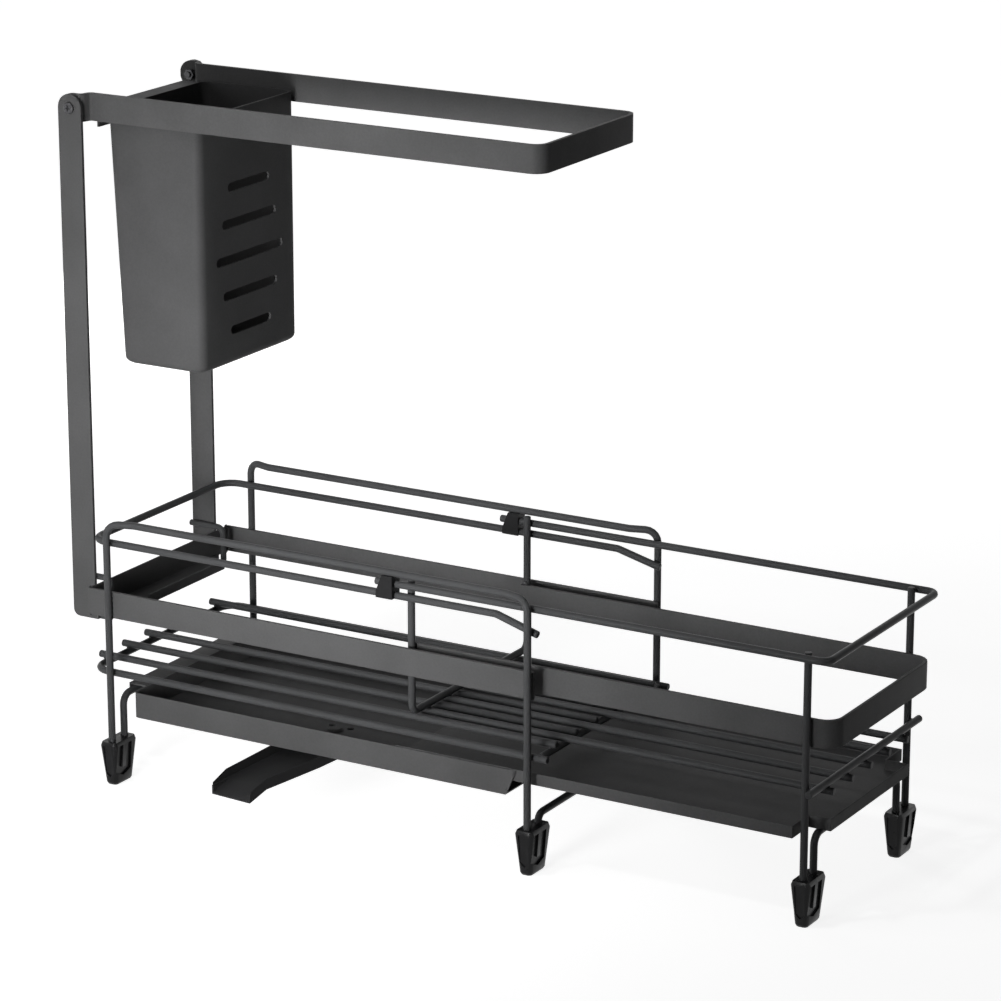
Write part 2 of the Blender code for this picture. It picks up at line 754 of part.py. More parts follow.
def hanging_bin(body, steel):
    """The sheet-metal bin: a slanted left wall, a round bottom edge, five slots and the hook on its rim."""
    low = bin_top_z - bin_depth
    bottom_left = bin_left + bin_left_slope
    outer, inner = [], []
    for step in range(CORNER_STEPS):
        angle = math.pi / 2 * step / CORNER_STEPS
        inset = bin_bottom_radius * (1 - math.sin(angle))
        rise = bin_bottom_radius * (1 - math.cos(angle))
        outer.append(bin_ring(bottom_left, inset, low + rise))
        inner.append(bin_ring(bottom_left, inset + bin_sheet, low + rise + bin_sheet))
    outer.append(bin_ring(bottom_left, 0, low + bin_bottom_radius))
    outer.append(bin_ring(bin_left, 0, bin_top_z))
    inner.append(bin_ring(bottom_left, bin_sheet, low + bin_bottom_radius + bin_sheet))
    inner.append(bin_ring(bin_left, bin_sheet, bin_top_z))
    shell = lofted("hanging_bin", outer + inner[::-1])
    tools = []
    middle = leg_depth / 2
    for i, share in enumerate(slot_width_shares):
        half = share * (far(bin_y) - bin_y) / 2
        z = bin_top_z - top_slot_drop - i * slot_pitch
        r = slot_height / 2
        outline = arc(middle + half - r, z, r, -90, 90) + arc(middle - half + r, z, r, 90, 270)
        x0, x1 = bin_left - overrun, bin_left + bin_length + overrun
        tools.append(prism(f"bin_slot_{i + 1}", outline, "X", x0, x1))
    place_helpers(body, tools)
    hook_left = bin_left - hook_reach
    t = bin_sheet
    outline = [(bin_left + t / 2, bin_top_z), (hook_left, bin_top_z), (hook_left, bin_top_z - hook_drop)]
    outline += [(hook_left + t, bin_top_z - hook_drop), (hook_left + t, bin_top_z - t)]
    outline.append((bin_left + t / 2, bin_top_z - t))
    y0 = bin_y + hook_inset
    hook = prism("bin_hook", outline, "Y", y0, far(y0))
    place_helpers(body, [hook])
    attach(shell, body, steel)
    for tool in tools:
        cut(shell, tool)
    add(shell, hook)


def left_tray(body, steel):
    """The fixed tray: it hooks over the left portal, and a tongue rests on the middle one."""
    t, z0 = tray_sheet, left_tray_z
    top = z0 + left_tray_wall
    x0, x1 = left_tray_start, leg_span - left_tray_stop
    y0, y1 = left_tray_inset, far(left_tray_inset)
    plan = rounded_box(x0, x1 + left_tray_slant, y0, y1, tray_corner)
    tray = prism("left_drip_tray", plan, "Z", z0, top)
    hollow = rounded_box(x0 + t, x1 + overrun, y0 + t, y1 - t, tray_corner - t)
    inside = prism("left_tray_inside", hollow, "Z", z0 + t, top + overrun)
    rise = top - z0
    steep = left_tray_slant / rise
    wedge = [(x1 - steep * overrun, z0 - overrun), (x1 + overrun, z0 - overrun)]
    wedge += [(x1 + overrun, top + overrun), (x1 + steep * (rise + overrun), top + overrun)]
    slant = prism("left_tray_slant", wedge, "Y", y0 - overrun, y1 + overrun)
    lip_low = left_portal_z + wire_r + seat_gap
    lip_left = -wire_r - seat_gap
    lip = [(x0 + t / 2, lip_low), (lip_left, lip_low), (lip_left, lip_low - tray_lip_drop)]
    lip += [(lip_left - t, lip_low - tray_lip_drop), (lip_left - t, lip_low + t), (x0 + t / 2, lip_low + t)]
    hook = prism("left_tray_lip", lip, "Y", tray_lip_margin, far(tray_lip_margin))
    rest = middle_portal_z + wire_r + seat_gap
    bend = leg_span - wire_dia
    end = leg_span + wire_dia
    outline = [(x1 - t, z0 + t), (x1 - t, z0), (bend - t, rest), (end, rest)]
    outline += [(end, rest + t), (bend, rest + t), (x1 + t, z0 + t)]
    half = tongue_width / 2
    tongue = prism("left_tray_tongue", outline, "Y", leg_depth / 2 - half, leg_depth / 2 + half)
    holes = []
    profile = [(rivet_shank_dia / 2 + seat_gap, -overrun), (rivet_shank_dia / 2 + seat_gap, overrun)]
    holes.append(turned("left_tray_rivet_hole", profile, (spout_x, spout_y, z0), (0, 0, 1), SMALL_SIDES))
    for i in range(drain_count):
        angle = math.tau * (i + 0.5) / drain_count
        x = spout_x + drain_circle_dia / 2 * math.cos(angle)
        y = spout_y + drain_circle_dia / 2 * math.sin(angle)
        profile = [(drain_dia / 2, -overrun), (drain_dia / 2, overrun)]
        holes.append(turned(f"left_tray_drain_{i + 1}", profile, (x, y, z0), (0, 0, 1), SMALL_SIDES))
    place_helpers(body, [inside, slant, hook, tongue] + holes)
    attach(tray, body, steel)
    cut(tray, inside)
    cut(tray, slant)
    add(tray, hook)
    add(tray, tongue)
    for hole in holes:
        cut(tray, hole)


def right_tray_plan(t, left):
    """The right tray's outline in plan, drawn in by a sheet's thickness; its corners clear the right legs."""
    wall = right_leg_x - wire_r - right_tray_leg_gap - t
    end = right_leg_x + right_tray_past_leg - t
    y0 = right_tray_inset + t
    notch = right_tray_inset + right_tray_notch + t
    half = [(left, y0), (wall, y0), (wall, notch), (end, notch)]
    return half + [(x, far(y)) for x, y in reversed(half)]


def right_tray(body, steel):
    """The sliding tray: it rests on the right portal, and its two heels run on the left tray's floor."""
    t, z0 = tray_sheet, right_tray_z
    left = post_x - right_tray_start
    tray = prism("right_drip_tray", right_tray_plan(0, left), "Z", z0, z0 + right_tray_wall)
    hollow = right_tray_plan(t, left - overrun)
    inside = prism("right_tray_inside", hollow, "Z", z0 + t, z0 + right_tray_wall + overrun)
    heels = []
    for side, at in SIDES:
        y0 = right_tray_inset + heel_margin
        low = (left, at(y0), left_tray_z + t + seat_gap)
        high = (left + t, at(y0 + heel_width), z0 + t / 2)
        heels.append(box(f"right_tray_heel_{side}", low, high))
    place_helpers(body, [inside] + heels)
    attach(tray, body, steel)
    cut(tray, inside)
    for heel in heels:
        add(tray, heel)


def spout_plan(inset, stretch):
    """The spout from above, pointing along -Y from its round end; all of it drawn in by an inset."""
    r = spout_width / 2 - inset
    tip = spout_tip_width / 2 - inset
    half = [(r, 0), (r, -spout_taper_start), (tip, -spout_length - stretch)]
    return arc(0, 0, r, 180, 0, 3 * CORNER_STEPS)[1:-1] + half + [(-x, y) for x, y in reversed(half)]


def spout(body, steel):
    """A trough that swivels under the tray's drain; its floor dips at the tip."""
    t = tray_sheet
    low, high = spout_low_z, spout_top_z
    trough = prism("drain_spout", spout_plan(0, 0), "Z", low - spout_ramp_drop, high)
    hollow = prism("spout_inside", spout_plan(t, overrun), "Z", low + t, high + overrun)
    start, end = -spout_length + spout_ramp, -spout_length
    slope = spout_ramp_drop / spout_ramp
    wide = spout_width
    under = [(start, low), (end - overrun, low - slope * (spout_ramp + overrun))]
    under += [(end - overrun, low - overrun), (wide, low - overrun), (wide, low)]
    below = prism("spout_underside", under, "X", -wide, wide)
    dip = [(start, low + t), (end - overrun, low + t - slope * (spout_ramp + overrun))]
    dip += [(end - overrun, high), (start, high)]
    tip_half = spout_tip_width / 2 - t
    floor_dip = prism("spout_dip", dip, "X", -tip_half, tip_half)
    over = [(start, high), (end - overrun, high - slope * (spout_ramp + overrun))]
    over += [(end - overrun, high + overrun), (start, high + overrun)]
    above = prism("spout_top_slope", over, "X", -wide, wide)
    profile = [(rivet_shank_dia / 2 + seat_gap, low - overrun), (rivet_shank_dia / 2 + seat_gap, high)]
    hole = turned("spout_rivet_hole", profile, (0, 0, 0), (0, 0, 1), SMALL_SIDES)
    turn = Matrix.Translation((spout_x, spout_y, 0)) @ Matrix.Rotation(spout_turn, 4, "Z")
    tools = [hollow, below, floor_dip, above, hole]
    for piece in tools + [trough]:
        piece.data.transform(turn)
    place_helpers(body, tools)
    attach(trough, body, steel)
    for tool in tools:
        cut(trough, tool)


def spout_rivet(body, bright):
    """A shouldered rivet: its head is in the left tray, and the spout turns on its lower shank."""
    g = seat_gap
    shank, collar, head = rivet_shank_dia / 2, rivet_collar_dia / 2, rivet_head_dia / 2
    tray_top = left_tray_z + tray_sheet
    floor_low, floor_top = spout_low_z, spout_low_z + tray_sheet
    profile = [(head, floor_low - g - rivet_head_height), (head, floor_low - g), (shank, floor_low - g)]
    profile += [(shank, floor_top + g), (collar, floor_top + g), (collar, left_tray_z - g)]
    profile += [(shank, left_tray_z - g), (shank, tray_top + g), (head, tray_top + g)]
    profile += [(head * rivet_crown_share, tray_top + g + rivet_head_height)]
    attach(turned("spout_rivet", profile, (spout_x, spout_y, 0), (0, 0, 1)), body, bright)


def build():
    clear_scene()
    coat = material("dark_grey_powder_coat", (0.040, 0.041, 0.044), 0.45, 0.2)
    wire_coat = material("dark_grey_wire_coat", (0.034, 0.035, 0.038), 0.4, 0.2)
    rubber = material("black_rubber", (0.010, 0.010, 0.011), 0.35, 0.0)
    plastic = material("black_plastic", (0.014, 0.014, 0.015), 0.4, 0.0)
    bright = material("dark_fastener_steel", (0.060, 0.060, 0.064), 0.35, 0.6)
    left = joint_empty("left_frame_origin", None, (0, 0, 0))
    left.location = (-origin_x, -origin_y, 0)
    right = joint_empty("right_frame_slide", left, (post_x, leg_depth / 2, right_rail_z))
    arm = joint_empty("arm_hinge", left, (pivot_x, leg_depth / 2, pivot_z))
    lift = joint_empty("bin_lift", arm, (rod_x, leg_depth / 2, rod_z))
    swivel = joint_empty("spout_swivel", left, (spout_x, spout_y, spout_top_z))
    leg_wires(left, wire_coat)
    portal("left_portal", 0, 0, left_portal_z, left, wire_coat)
    portal("middle_portal", leg_span, 0, middle_portal_z, left, wire_coat)
    portal("right_portal", right_leg_x, right_leg_y, right_portal_z, right, wire_coat)
    guard_rail(left, wire_coat)
    left_floor(left, wire_coat)
    right_wires(right, wire_coat)
    slider_clips(right, plastic)
    flat_bars(left, right, coat)
    feet(left, right, rubber)
    uprights(left, coat)
    channel(left, coat)
    keepers(left, wire_coat)
    arm_frame(arm, coat)
    bin_rod(arm, wire_coat)
    pivot_screws(left, bright)
    hanging_bin(lift, coat)
    left_tray(left, coat)
    right_tray(right, coat)
    spout(swivel, coat)
    spout_rivet(left, bright)


build()
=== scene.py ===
"""The looks of the sink organizer, and its studio.

Each CAD node gets a finished copy with eased edges and a coat, rubber, plastic or steel finish.
The pivot screws get a cross recess, and each body its weld beads.
"""
import json
import math
import random
from collections import namedtuple

import bmesh
import bpy
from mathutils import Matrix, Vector
from mathutils.bvhtree import BVHTree

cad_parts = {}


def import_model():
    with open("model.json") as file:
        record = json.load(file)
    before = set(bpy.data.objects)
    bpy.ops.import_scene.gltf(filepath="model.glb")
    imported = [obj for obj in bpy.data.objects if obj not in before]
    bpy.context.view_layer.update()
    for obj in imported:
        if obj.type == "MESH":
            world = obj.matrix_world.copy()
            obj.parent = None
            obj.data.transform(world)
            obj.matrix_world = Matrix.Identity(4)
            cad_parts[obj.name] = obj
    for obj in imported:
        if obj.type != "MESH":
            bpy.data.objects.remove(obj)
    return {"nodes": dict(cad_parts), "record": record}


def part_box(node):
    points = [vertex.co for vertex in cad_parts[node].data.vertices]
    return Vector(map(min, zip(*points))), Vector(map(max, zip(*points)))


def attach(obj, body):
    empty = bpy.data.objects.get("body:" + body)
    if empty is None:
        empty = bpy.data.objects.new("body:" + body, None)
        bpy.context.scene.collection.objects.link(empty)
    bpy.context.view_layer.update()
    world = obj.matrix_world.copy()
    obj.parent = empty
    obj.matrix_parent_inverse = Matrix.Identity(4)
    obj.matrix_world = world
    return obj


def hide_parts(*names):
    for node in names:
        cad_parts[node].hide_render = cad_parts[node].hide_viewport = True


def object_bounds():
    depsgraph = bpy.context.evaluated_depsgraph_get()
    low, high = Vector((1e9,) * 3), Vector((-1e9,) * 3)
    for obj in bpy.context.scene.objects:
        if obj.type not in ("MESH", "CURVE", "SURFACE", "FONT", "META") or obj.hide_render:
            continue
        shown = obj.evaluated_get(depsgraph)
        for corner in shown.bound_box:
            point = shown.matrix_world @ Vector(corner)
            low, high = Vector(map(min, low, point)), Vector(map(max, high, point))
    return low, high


MM = 0.001
WHITE = (1, 1, 1, 1)

# Camera, fitted to the photograph's view with no lens shift
SENSOR_MM = 36.0
LENS_MM = 143.54
CAMERA_YAW = math.radians(30.36)
CAMERA_PITCH = math.radians(16.68)
CAMERA_DISTANCE = 2108.7 * MM
CAMERA_AIM = Vector((7.66, 20.54, 177.1)) * MM
CAMERA_REACH = 20.0

# Lamps, in metres and watts. Gloss shows only those that are mirrored.
Lamp = namedtuple("Lamp", "name place aim size watts spread mirrored", defaults=(180.0, True))
LAMPS = (
    Lamp("key", (-0.04, -0.78, 0.24), (-0.08, 0.0, 0.22), (0.26, 0.26), 0.88, spread=52.0),
    Lamp("top", (0.0, 0.1, 1.5), (0.0, 0.0, 0.15), (1.0, 1.0), 0.4),
    Lamp("fill", (-1.4, -1.2, 0.7), (0.0, 0.0, 0.15), (1.2, 1.0), 6.5),
    Lamp("back", (-1.1, 0.7, 0.17), (0.0, 0.0, 0.2), (0.5, 0.5), 6.0, mirrored=False),
    Lamp("glint", (-0.25, -0.55, 1.15), (0.0, 0.0, 0.15), (0.1, 0.1), 1.3),
    Lamp("strip", (1.3, -0.75, 0.3), (0.0, 0.0, 0.2), (0.03, 0.9), 0.5),
)
WORLD_LEVEL = 0.015
WORLD_COLOUR = (0.93, 0.95, 1.0, 1)

# Floor, whose own light for the camera rises with the distance from the object
FLOOR_SIZE = 12.0
FLOOR_CELLS = 8
FLOOR_DROP = 0.05 * MM
FLOOR_DARK = (0.6, 0.6, 0.6)
FLOOR_LIGHT = (0.606, 0.606, 0.606)
FLOOR_WAVES = 3.0
FLOOR_ROUGHNESS = 0.9
FLOOR_GLOW_NEAR = 0.86
FLOOR_GLOW_FAR = 0.99
GLOW_START = 0.35
GLOW_END = 1.1

# Noise: waves per metre, and the part of its range that a ramp or a spread covers
NOISE_LOW = 0.3
NOISE_HIGH = 0.7
CLOUD_WAVES = 35.0
SPECKLE_WAVES = 900.0
COAT_GLOSS_WAVES = 120.0
PEEL_WAVES = 650.0
FINE_WAVES = 2600.0

# Powder coat: depth of the clouds and speckles, spread of the roughness, and the skin
CLOUD_DARK = 0.92
CLOUD_LIGHT = 1.08
SPECKLE_DARK = (0.9, 0.9, 0.9)
SPECKLE_LIGHT = (1.0, 1.0, 1.0)
COAT_ROUGH_SPREAD = 0.03
PEEL_STRENGTH = 0.25
FINE_STRENGTH = 0.2
FINE_GRAIN = 0.3
COAT_SPECULAR = 0.03
WIRE_SPECULAR = 0.06

# Gloss of the other finishes
STEEL_METALLIC = 0.7
RUBBER_SPECULAR = 0.16
PLASTIC_SPECULAR = 0.12

# Eased edges, as the coated metal and the moulded parts have them: width and segments
EDGES = {
    "wire_coat": (0.42 * MM, 2),
    "bar_coat": (0.35 * MM, 3),
    "tray_coat": (0.3 * MM, 2),
    "bin_coat": (0.3 * MM, 2),
    "fastener": (0.25 * MM, 2),
    "rubber": (0.6 * MM, 3),
    "plastic": (0.25 * MM, 2),
}

# Facets of a CAD node: points that are one, and the bends that are flat, smooth or sharp
SAME_POINT = 0.01 * MM
FLAT_ANGLE = math.radians(0.8)
SMOOTH_ANGLE = math.radians(38)
WIRE_SMOOTH_ANGLE = math.radians(62)

# Cross recess in the pivot screws' heads, and the way along Y that each head faces. The taper is
# the size at the bottom, and the cutter stands over the face by RECESS_OVER.
RECESSED = {"front_pivot_screw": -1, "back_pivot_screw": 1}
RECESS_LENGTH = 3.6 * MM
RECESS_WIDTH = 0.75 * MM
RECESS_DEPTH = 1.1 * MM
RECESS_TAPER = 0.45
RECESS_OVER = 0.3 * MM
RECESS_EDGE = 0.06 * MM

# Weld beads, drawn where two coated steel pieces of one body meet: the widest gap that is welded,
# the spacing of the points searched and of the beads, a bead's size and shape, and the margin
# that the beads keep from the CAD box
STEEL = ("wire_coat", "bar_coat")
WELD_SEED = 7
WELD_REACH = 0.55 * MM
WELD_SAMPLE = 0.7 * MM
WELD_SPACING = 2.4 * MM
WELD_RADIUS = 1.45 * MM
WELD_HALF_HEIGHT = 0.62 * MM
WELD_FULLNESS = 0.7
WELD_UNEVEN = 0.12
WELD_MARGIN = 1.8 * MM
WELD_AROUND = 12
WELD_RINGS = 6
PLACE_DIGITS = 6

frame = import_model()
cad_low, cad_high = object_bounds()


def add_object(name, data):
    obj = bpy.data.objects.new(name, data)
    bpy.context.scene.collection.objects.link(obj)
    return obj


def add_mesh(name, bm):
    """A new mesh from a BMesh, which is freed."""
    mesh = bpy.data.meshes.new(name)
    bm.to_mesh(mesh)
    bm.free()
    return mesh


def new_material(name):
    made = bpy.data.materials.new(name)
    made.use_nodes = True
    tree = made.node_tree
    return made, tree, tree.nodes["Principled BSDF"]


def link(tree, source, target):
    tree.links.new(source, target)


def noise(tree, waves, detail=3.0, roughness=0.5):
    """A noise texture in the piece's own coordinates."""
    place = tree.nodes.new("ShaderNodeTexCoord")
    texture = tree.nodes.new("ShaderNodeTexNoise")
    texture.inputs["Scale"].default_value = waves
    texture.inputs["Detail"].default_value = detail
    texture.inputs["Roughness"].default_value = roughness
    link(tree, place.outputs["Object"], texture.inputs["Vector"])
    return texture.outputs["Fac"]


def ramp(tree, source, low, high):
    """Maps a noise to colours between two."""
    node = tree.nodes.new("ShaderNodeValToRGB")
    stops = node.color_ramp.elements
    stops[0].position, stops[0].color = NOISE_LOW, (*low, 1)
    stops[1].position, stops[1].color = NOISE_HIGH, (*high, 1)
    link(tree, source, node.inputs["Fac"])
    return node.outputs["Color"]


def spread(tree, source, low, high):
    """Maps a noise to a range of numbers."""
    node = tree.nodes.new("ShaderNodeMapRange")
    node.inputs["From Min"].default_value = NOISE_LOW
    node.inputs["From Max"].default_value = NOISE_HIGH
    node.inputs["To Min"].default_value = low
    node.inputs["To Max"].default_value = high
    link(tree, source, node.inputs["Value"])
    return node.outputs["Result"]


def bump(tree, source, strength, distance):
    node = tree.nodes.new("ShaderNodeBump")
    node.inputs["Strength"].default_value = strength
    node.inputs["Distance"].default_value = distance
    link(tree, source, node.inputs["Height"])
    return node


def powder_coat(name, colour, rough, grain, specular=COAT_SPECULAR):
    """Baked powder: an even dark grey with faint clouds and speckles and an orange-peel skin.

    rough is the mean roughness, and grain the depth of the skin.
    """
    made, tree, shader = new_material(name)
    clouds = noise(tree, CLOUD_WAVES)
    speckle = noise(tree, SPECKLE_WAVES, detail=2.0)
    mix = tree.nodes.new("ShaderNodeMix")
    mix.data_type = "RGBA"
    mix.blend_type = "MULTIPLY"
    mix.inputs["Factor"].default_value = 1.0
    dark = tuple(c * CLOUD_DARK for c in colour)
    light = tuple(c * CLOUD_LIGHT for c in colour)
    link(tree, ramp(tree, clouds, dark, light), mix.inputs["A"])
    link(tree, ramp(tree, speckle, SPECKLE_DARK, SPECKLE_LIGHT), mix.inputs["B"])
    link(tree, mix.outputs["Result"], shader.inputs["Base Color"])
    gloss = spread(tree, noise(tree, COAT_GLOSS_WAVES),
                   rough - COAT_ROUGH_SPREAD, rough + COAT_ROUGH_SPREAD)
    link(tree, gloss, shader.inputs["Roughness"])
    peel = bump(tree, noise(tree, PEEL_WAVES, detail=2.0, roughness=0.6), PEEL_STRENGTH, grain)
    fine = bump(tree, noise(tree, FINE_WAVES, detail=1.0), FINE_STRENGTH, grain * FINE_GRAIN)
    link(tree, peel.outputs["Normal"], fine.inputs["Normal"])
    link(tree, fine.outputs["Normal"], shader.inputs["Normal"])
    shader.inputs["Metallic"].default_value = 0.0
    shader.inputs["Specular IOR Level"].default_value = specular
    return made


def plain_finish(name, colours, colour_waves, rough, rough_waves, strength, depth, grain_waves):
    """A surface with faint clouds between two colours, an uneven gloss and a fine grain."""
    made, tree, shader = new_material(name)
    link(tree, ramp(tree, noise(tree, colour_waves), *colours), shader.inputs["Base Color"])
    link(tree, spread(tree, noise(tree, rough_waves), *rough), shader.inputs["Roughness"])
    skin = bump(tree, noise(tree, grain_waves), strength, depth)
    link(tree, skin.outputs["Normal"], shader.inputs["Normal"])
    return made, shader


def fastener_finish():
    """Black-oxide steel with fine turning marks."""
    made, shader = plain_finish(
        "black_oxide_steel",
        colours=((0.05, 0.05, 0.053), (0.07, 0.07, 0.0742)), colour_waves=500.0,
        rough=(0.28, 0.4), rough_waves=1800.0,
        strength=0.2, depth=0.01 * MM, grain_waves=3000.0)
    shader.inputs["Metallic"].default_value = STEEL_METALLIC
    return made


def rubber_finish():
    """Moulded black rubber with a soft sheen and a faint bloom."""
    made, shader = plain_finish(
        "foot_rubber",
        colours=((0.0045, 0.0045, 0.005), (0.00875, 0.00875, 0.0095)), colour_waves=160.0,
        rough=(0.26, 0.38), rough_waves=420.0,
        strength=0.15, depth=0.02 * MM, grain_waves=1500.0)
    shader.inputs["Specular IOR Level"].default_value = RUBBER_SPECULAR
    return made


def plastic_finish():
    """Moulded plastic with a fine spark-eroded grain."""
    made, shader = plain_finish(
        "clip_plastic",
        colours=((0.01, 0.01, 0.0105), (0.0125, 0.0125, 0.013125)), colour_waves=300.0,
        rough=(0.36, 0.46), rough_waves=800.0,
        strength=0.25, depth=0.02 * MM, grain_waves=2200.0)
    shader.inputs["Specular IOR Level"].default_value = PLASTIC_SPECULAR
    return made


FINISHES = {
    "wire_coat": powder_coat("wire_powder_coat", (0.064, 0.065, 0.067), rough=0.32,
                             grain=0.012 * MM, specular=WIRE_SPECULAR),
    "bar_coat": powder_coat("bar_powder_coat", (0.092, 0.092, 0.093), rough=0.42,
                            grain=0.06 * MM),
    "tray_coat": powder_coat("tray_powder_coat", (0.090, 0.090, 0.091), rough=0.46,
                             grain=0.06 * MM),
    "bin_coat": powder_coat("bin_powder_coat", (0.076, 0.076, 0.077), rough=0.46,
                            grain=0.06 * MM),
    "fastener": fastener_finish(),
    "rubber": rubber_finish(),
    "plastic": plastic_finish(),
}
# Nodes whose finish isn't their slot's: the spout is darker than the trays in the photograph.
# Its darker coat colour is partly the spout's own tone and partly painted shade for the shade
# inside it.
OWN_FINISH = {
    # The spout's coat colour holds painted shade of its hollow as well as its own darker tone
    "drain_spout": powder_coat("spout_powder_coat", (0.032, 0.032, 0.033), rough=0.36,
                               grain=0.04 * MM),
    "spout_rivet": FINISHES["tray_coat"],
}
RECORD = frame["record"]
SLOT_OF = {row["node"]: row["material_slot"] for row in RECORD["subparts"]}
BODY_OF = {node: body for body, nodes in RECORD["behaviour"]["bodies"].items() for node in nodes}


def surface_of(node):
    """A CAD node's search tree, and points along its edges."""
    bm = bmesh.new()
    bm.from_mesh(frame["nodes"][node].data)
    tree = BVHTree.FromBMesh(bm)
    points = []
    for edge in bm.edges:
        start, end = (v.co.copy() for v in edge.verts)
        steps = max(1, int((end - start).length / WELD_SAMPLE))
        points += [start.lerp(end, i / steps) for i in range(steps)]
    bm.free()
    return tree, points


def apart(a, b):
    """Whether two nodes' boxes are further apart than a weld reaches."""
    (a_low, a_high), (b_low, b_high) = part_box(a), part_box(b)
    return any(a_low[k] - b_high[k] > WELD_REACH or b_low[k] - a_high[k] > WELD_REACH
               for k in range(3))


def meetings(a, b, surfaces):
    """Places where two nodes meet, nearest first, each with the direction across the gap."""
    if apart(a, b):
        return []
    found = []
    for one, other in ((a, b), (b, a)):
        for point in surfaces[one][1]:
            near, normal, _, gap = surfaces[other][0].find_nearest(point, WELD_REACH)
            if near is not None:
                middle = tuple(round(v, PLACE_DIGITS) for v in (point + near) / 2)
                found.append((round(gap, PLACE_DIGITS), middle, normal))
    found.sort(key=lambda row: row[:2])
    kept = []
    for _, middle, normal in found:
        place = Vector(middle)
        if all((place - taken).length > WELD_SPACING for taken, _ in kept):
            kept.append((place, normal))
    return kept


def weld_bead(bm, place, normal, rng):
    """Adds a flattened, slightly uneven drop of weld metal across a gap."""
    turn = normal.to_track_quat("Z", "Y")
    radius = WELD_RADIUS * (1 + rng.uniform(-WELD_UNEVEN, WELD_UNEVEN))
    rings = []
    for i in range(1, WELD_RINGS):
        lift = math.pi * i / WELD_RINGS
        height = WELD_HALF_HEIGHT * math.cos(lift)
        ring = []
        for j in range(WELD_AROUND):
            around = 2 * math.pi * j / WELD_AROUND
            uneven = 1 + rng.uniform(-1, 1) * WELD_UNEVEN / 2
            reach = radius * math.sin(lift) ** WELD_FULLNESS * uneven
            spot = Vector((reach * math.cos(around), reach * math.sin(around), height))
            ring.append(bm.verts.new(place + turn @ spot))
        rings.append(ring)
    pole = turn @ Vector((0, 0, WELD_HALF_HEIGHT))
    top = bm.verts.new(place + pole)
    bottom = bm.verts.new(place - pole)
    for j in range(WELD_AROUND):
        k = (j + 1) % WELD_AROUND
        bm.faces.new((top, rings[0][j], rings[0][k]))
        bm.faces.new((bottom, rings[-1][k], rings[-1][j]))
        for near, far in zip(rings, rings[1:]):
            bm.faces.new((near[j], far[j], far[k], near[k]))


def welded(a, b):
    """Whether two pieces of one body may be welded: the channel only holds the uprights' tabs."""
    return not ("upright" in a + b and "channel" in a + b)


def in_cad_box(place):
    """Whether a bead at this place stays inside the CAD box."""
    return all(cad_low[k] + WELD_MARGIN < place[k] < cad_high[k] - WELD_MARGIN for k in range(3))


def weld_beads():
    """The welds of each body, joined to one piece per body."""
    rng = random.Random(WELD_SEED)
    steel = [node for node in sorted(frame["nodes"]) if SLOT_OF[node] in STEEL]
    surfaces = {node: surface_of(node) for node in steel}
    for body in sorted(set(BODY_OF.values())):
        members = [node for node in steel if BODY_OF[node] == body]
        pairs = [(a, b) for i, a in enumerate(members) for b in members[i + 1:] if welded(a, b)]
        places = [spot for a, b in pairs for spot in meetings(a, b, surfaces)
                  if in_cad_box(spot[0])]
        if not places:
            continue
        bm = bmesh.new()
        for place, normal in places:
            weld_bead(bm, place, normal, rng)
        bm.normal_update()
        mesh = add_mesh(f"{body}_welds", bm)
        mesh.shade_smooth()
        mesh.materials.append(FINISHES["wire_coat"])
        obj = add_object(f"{body}_welds", mesh)
        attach(obj, body)


def dress(node):
    """A finished copy of a CAD node, with its facets joined, edges eased and curves smooth."""
    slot = SLOT_OF[node]
    wire = slot == "wire_coat"
    bm = bmesh.new()
    bm.from_mesh(frame["nodes"][node].data)
    bmesh.ops.remove_doubles(bm, verts=bm.verts, dist=SAME_POINT)
    bmesh.ops.dissolve_limit(bm, angle_limit=FLAT_ANGLE, verts=bm.verts, edges=bm.edges)
    mesh = add_mesh(f"{node}_finish", bm)
    mesh.shade_smooth()
    mesh.set_sharp_from_angle(angle=WIRE_SMOOTH_ANGLE if wire else SMOOTH_ANGLE)
    mesh.materials.clear()
    mesh.materials.append(OWN_FINISH.get(node, FINISHES[slot]))
    obj = add_object(f"{node}_finish", mesh)
    modifier = obj.modifiers.new("eased_edges", "BEVEL")
    modifier.width, modifier.segments = EDGES[slot]
    modifier.limit_method = "ANGLE"
    modifier.angle_limit = SMOOTH_ANGLE
    modifier.harden_normals = not wire
    modifier.use_clamp_overlap = True
    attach(obj, BODY_OF[node])
    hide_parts(node)
    return obj


def cross_cutter(place, outward):
    """A tapered cross whose wide end stands a little out of the screw head's face."""
    bm = bmesh.new()
    long_half, wide_half = RECESS_LENGTH / 2, RECESS_WIDTH / 2
    levels = ((RECESS_OVER, 1.0), (0.0, 1.0), (-RECESS_DEPTH, RECESS_TAPER))
    for along, across in ((long_half, wide_half), (wide_half, long_half)):
        rings = []
        for lift, scale in levels:
            a, b = along * scale, across * scale
            y = place.y + outward * lift
            rings.append([bm.verts.new((place.x + x, y, place.z + z))
                          for x, z in ((-a, -b), (a, -b), (a, b), (-a, b))])
        for low, high in zip(rings, rings[1:]):
            for j in range(4):
                k = (j + 1) % 4
                bm.faces.new((low[j], low[k], high[k], high[j]))
        bm.faces.new(rings[0])
        bm.faces.new(rings[-1])
    bmesh.ops.recalc_face_normals(bm, faces=bm.faces)
    return add_object("cross_cutter", add_mesh("cross_cutter", bm))


